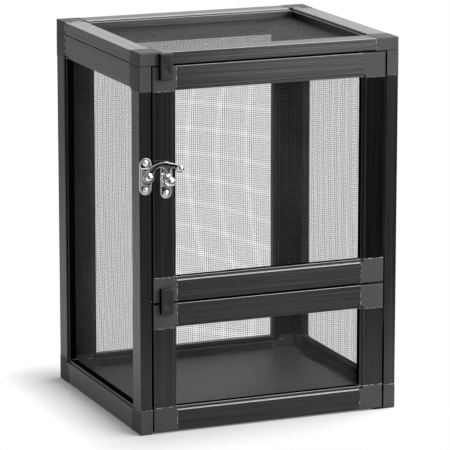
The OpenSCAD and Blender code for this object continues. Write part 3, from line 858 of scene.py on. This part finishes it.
class TERRARIUM_OT_horn_latch(bpy.types.Operator):
    """Make the chromed latch: plates, arm, rivet, knob and screws"""
    bl_idname = "terrarium.horn_latch"
    bl_label = "Horn latch"

    def execute(self, context):
        chrome = context.scene.terrarium_finish.chrome
        plating = chromed("latch chrome", chrome)
        edges = chromed("latch edges painted highlight", chrome, rough=(0.3, 0.38), metallic=0.3)
        bright = chromed("screw nickel", SCREW_NICKEL, rough=(0.28, 0.4))
        for node, name, body in (
                ("latch_plate", "latch_plate_pressing", "cage"),
                ("catch_plate", "catch_plate_pressing", "upper_door")):
            self.rimmed(softened_copy(node, name, SMALL_ROUNDING, plating, body), edges)
        front = node_box("latch_arm")[0].y + ARM_FRONT
        cast = softened_copy("latch_arm", "latch_arm_casting", CAST_ROUNDING, plating, "latch_arm",
                             segments=5, weight=lambda edge: self.roundness(edge, front))
        self.rimmed(cast, edges)
        self.end_ball(plating)
        self.knob(plating)
        self.rivet(plating)
        for node, body in (("latch_screws", "cage"), ("catch_screws", "upper_door")):
            self.screws(node, bright, body)
        return {"FINISHED"}

    @staticmethod
    def rimmed(made, edges):
        """Gives the rounded edges a plating that is less sharp than the flat faces' and partly light diffuse
        grey, a painted highlight along the rims.
        """
        made.data.materials.append(edges)
        made.modifiers["Rounded edges"].material = 1
        return made

    @staticmethod
    def roundness(edge, front, behind=0.25, above=1.0, below=0.75):
        """An edge's share of the rounding: most along the arm's upper front, least behind front."""
        if max(v.co.y for v in edge.verts) > front:
            return behind
        return above if max(face.normal.z for face in edge.link_faces) > 0.15 else below

    @staticmethod
    def end_ball(plating):
        """The ball at the arm's free end, over the arm's own, and the collar before it."""
        low, high = node_box("latch_arm")
        points = [v.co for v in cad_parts["latch_arm"].data.vertices]
        tip = [q.z for q in points if q.x > high.x - ARM_TIP]
        radius = (max(tip) - min(tip)) / 2
        middle = Vector((high.x - radius, (low.y + high.y) / 2, (max(tip) + min(tip)) / 2))
        ball = ball_profile(0.0, radius * 1.02)
        turned("latch_arm_ball", ball, middle, plating, "latch_arm")
        collar = ball_profile(0.0, COLLAR_RADIUS)
        place = middle - COLLAR_OFFSET
        turned("latch_arm_collar", collar, place, plating, "latch_arm", steps=40)

    @staticmethod
    def measure(node):
        """(middle x, back y, lowest z, highest z, radius, length) of round pieces that point forward."""
        low, high = node_box(node)
        return (low.x + high.x) / 2, high.y, low.z, high.z, (high.x - low.x) / 2, high.y - low.y

    def knob(self, plating):
        """The round knob on its neck."""
        x, back, bottom, top, radius, length = self.measure("catch_knob")
        start = -math.degrees(math.acos(KNOB_NECK / radius))
        profile = [(0.0, KNOB_NECK)] + ball_profile(length - radius, radius, start)
        made = turned("catch_knob_turned", profile, (x, back, (bottom + top) / 2), plating, "upper_door")
        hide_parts("catch_knob")

    def rivet(self, plating):
        """The domed rivet that the arm turns on."""
        x, back, bottom, top, radius, length = self.measure("latch_rivet")
        seat = length - RIVET_HEAD
        profile = [(0.0, RIVET_SHANK), (seat, RIVET_SHANK), (seat, radius)]
        profile += dome_profile(seat, radius, radius * 0.96)
        made = turned("latch_rivet_turned", profile, (x, back, (bottom + top) / 2), plating, "cage")
        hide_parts("latch_rivet")

    def screws(self, node, bright, body):
        """Two domed screw heads with cross recesses."""
        x, back, bottom, top, radius, height = self.measure(node)
        profile = [(0.0, radius)] + dome_profile(0.0, radius, height)
        for which, z in (("upper", top - radius), ("lower", bottom + radius)):
            made = turned(node + "_" + which, profile, (x, back, z), bright, body, relief=cross_recess)
            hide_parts(node)


class TERRARIUM_OT_stage(bpy.types.Operator):
    """Set the floor, the soft light, the surroundings and the camera"""
    bl_idname = "terrarium.stage"
    bl_label = "Stage"

    def execute(self, context):
        scene, values = context.scene, context.scene.terrarium_stage
        scene.view_settings.view_transform = "Standard"
        self.lay_floor(scene, half=6.0)
        self.surroundings(scene, values.fill)
        self.soft_light("key light", place=(1.2, -0.2, 1.65), aim=(0.0, 0.0, 0.2), size=1.9,
                        power=values.key_light)
        self.soft_light("front light", place=(0.5, -1.0, 0.62), aim=(0.0, 0.0, 0.3), size=0.4,
                        power=values.front_light)
        self.place_camera(scene, values.lens)
        return {"FINISHED"}

    @staticmethod
    def place_camera(scene, lens):
        """The camera that sees the cage as the photograph does."""
        data = bpy.data.cameras.new("camera")
        data.lens = lens
        data.sensor_width = 36.0
        camera = bpy.data.objects.new("camera", data)
        camera.location = CAMERA_PLACE
        camera.rotation_euler = (math.radians(90 - CAMERA_TILT), 0.0, math.radians(-CAMERA_TURN))
        scene.collection.objects.link(camera)
        scene.camera = camera

    def lay_floor(self, scene, half):
        """A wide sheet of paper under the cage."""
        data = bpy.data.meshes.new("studio floor")
        corners = [(-half, -half, 0), (half, -half, 0), (half, half, 0), (-half, half, 0)]
        data.from_pydata(corners, [], [(0, 1, 2, 3)])
        floor = bpy.data.objects.new("studio_floor", data)
        scene.collection.objects.link(floor)
        data.materials.append(self.paper())

    @staticmethod
    def paper():
        """White studio paper: it shows the object's shadow, runs into white away from it, and
        looks dim at the front right in the object's own reflections."""
        made, tree, shader = new_material(
            "studio paper", {"Roughness": 0.9, "Base Color": PAPER_WHITE, "Specular IOR Level": 0.0})
        paper = shader.outputs[0]
        ground = object_place(tree)
        half = work_out_vector(tree, "ABSOLUTE", ground)
        past = work_out_vector(tree, "SUBTRACT", half, COVERED_FLOOR)
        away = work_out_vector(tree, "LENGTH", work_out_vector(tree, "MAXIMUM", past, (0.0, 0.0, 0.0)))
        glow = put(tree, "ShaderNodeEmission", {"Color": WHITE, "Strength": 1.0}).outputs[0]
        fade = ramp(tree, away, low=0.1, high=1.0, start=0.0, end=0.062)
        seen = mix_shader(tree, fade, paper, glow)
        # Painted shadow and reflection: in glossy rays the paper glows, darker near the cage, dim at the
        # front right and fading far off
        x, y, _ = put(tree, "ShaderNodeSeparateXYZ", {0: ground}).outputs
        behind = work_out(tree, "SUBTRACT", y, work_out(tree, "MULTIPLY", x, LEAN))
        side = ramp(tree, behind, start=-0.32, end=-0.08)
        dim = ramp(tree, x, low=0.2, high=0.012, start=0.08, end=0.4)
        front = ramp(tree, away, low=0.72, high=dim, start=0.15, end=0.55)
        near = ramp(tree, away, low=0.28, high=1.0, start=0.0, end=0.12)
        fading = ramp(tree, away, low=1.0, high=0.62, start=0.6, end=1.3)
        shine = mix_value(tree, side, front, work_out(tree, "MULTIPLY", near, fading))
        mirror = put(tree, "ShaderNodeEmission", {"Color": WHITE, "Strength": shine}).outputs[0]
        path = put(tree, "ShaderNodeLightPath").outputs
        direct = mix_shader(tree, path["Is Camera Ray"], paper, seen)
        both = mix_shader(tree, path["Is Glossy Ray"], direct, mirror)
        tree.links.new(both, tree.nodes["Material Output"].inputs["Surface"])
        return made

    @staticmethod
    def surroundings(scene, strength):
        """White round the camera's view, even fill for the object, bright behind it and dim at the front."""
        world = bpy.data.worlds.new("surroundings")
        scene.world = world
        world.use_nodes = True
        tree = world.node_tree
        tree.nodes.clear()
        where = put(tree, "ShaderNodeTexCoord").outputs["Generated"]
        x, y, z = put(tree, "ShaderNodeSeparateXYZ", {0: where}).outputs
        behind = work_out(tree, "SUBTRACT", y, work_out(tree, "MULTIPLY", x, LEAN))
        low = ramp(tree, z, low=0.9, high=0.15, start=0.1, end=0.5)
        facing = ramp(tree, x, low=0.12, high=1.0, start=-0.2, end=0.2)
        front = work_out(tree, "MULTIPLY", low, facing)
        back = ramp(tree, x, low=0.32, high=1.7, start=-0.3, end=0.4)
        level = ramp(tree, behind, low=front, high=back, start=-0.5, end=0.3)
        above = ramp(tree, z, start=0.5, end=0.8)
        right = ramp(tree, x, start=-0.25, end=0.1)
        over = work_out(tree, "MULTIPLY", above, right)
        shine = ramp(tree, over, low=level, high=1.2, start=0.0, end=1.0)
        path = put(tree, "ShaderNodeLightPath").outputs
        seen = work_out(tree, "MAXIMUM", path["Is Camera Ray"], path["Is Transmission Ray"])
        mirrored, fill, white = (
            put(tree, "ShaderNodeBackground", {"Color": WHITE, "Strength": power}).outputs[0]
            for power in (shine, strength, 1.0))
        light = mix_shader(tree, path["Is Glossy Ray"], fill, mirrored)
        put(tree, "ShaderNodeOutputWorld", {"Surface": mix_shader(tree, seen, light, white)})

    @staticmethod
    def soft_light(name, place, aim, size, power):
        """A square area light that looks at aim."""
        data = bpy.data.lights.new(name, "AREA")
        data.shape = "SQUARE"
        data.size = size
        data.energy = power
        made = bpy.data.objects.new(name, data)
        made.location = place
        made.rotation_euler = (Vector(aim) - Vector(place)).to_track_quat("-Z", "Y").to_euler()
        bpy.context.scene.collection.objects.link(made)
        return made


class TERRARIUM_PT_sidebar(bpy.types.Panel):
    """Lists the terrarium's pieces and settings"""
    bl_label = "Terrarium"
    bl_idname = "TERRARIUM_PT_sidebar"
    bl_space_type = "VIEW_3D"
    bl_region_type = "UI"
    bl_category = "Terrarium"

    def draw(self, context):
        for settings in ("terrarium_weave", "terrarium_finish", "terrarium_stage"):
            values = getattr(context.scene, settings)
            box = self.layout.box()
            for key in values.__annotations__:
                box.prop(values, key)
        for operator in STEPS:
            self.layout.operator(operator.bl_idname)


STEPS = (
    TERRARIUM_OT_bars, TERRARIUM_OT_corner_blocks, TERRARIUM_OT_mesh_panels, TERRARIUM_OT_spline_cords,
    TERRARIUM_OT_floor_plate, TERRARIUM_OT_turn_buttons, TERRARIUM_OT_hinges, TERRARIUM_OT_horn_latch,
    TERRARIUM_OT_stage)
CLASSES = (TerrariumWeave, TerrariumFinish, TerrariumStage) + STEPS + (TERRARIUM_PT_sidebar,)


def register():
    """Adds the classes and the scene's settings."""
    for item in CLASSES:
        bpy.utils.register_class(item)
    bpy.types.Scene.terrarium_weave = bpy.props.PointerProperty(type=TerrariumWeave)
    bpy.types.Scene.terrarium_finish = bpy.props.PointerProperty(type=TerrariumFinish)
    bpy.types.Scene.terrarium_stage = bpy.props.PointerProperty(type=TerrariumStage)


def unregister():
    """Takes them away again."""
    del bpy.types.Scene.terrarium_stage
    del bpy.types.Scene.terrarium_finish
    del bpy.types.Scene.terrarium_weave
    for item in reversed(CLASSES):
        bpy.utils.unregister_class(item)


def main():
    """Makes the whole scene."""
    register()
    bpy.ops.terrarium.bars()
    bpy.ops.terrarium.corner_blocks()
    bpy.ops.terrarium.mesh_panels()
    bpy.ops.terrarium.spline_cords()
    bpy.ops.terrarium.floor_plate()
    bpy.ops.terrarium.turn_buttons()
    bpy.ops.terrarium.hinges()
    bpy.ops.terrarium.horn_latch()
    bpy.ops.terrarium.stage()
    bpy.context.view_layer.update()


if __name__ == "__main__":
    main()
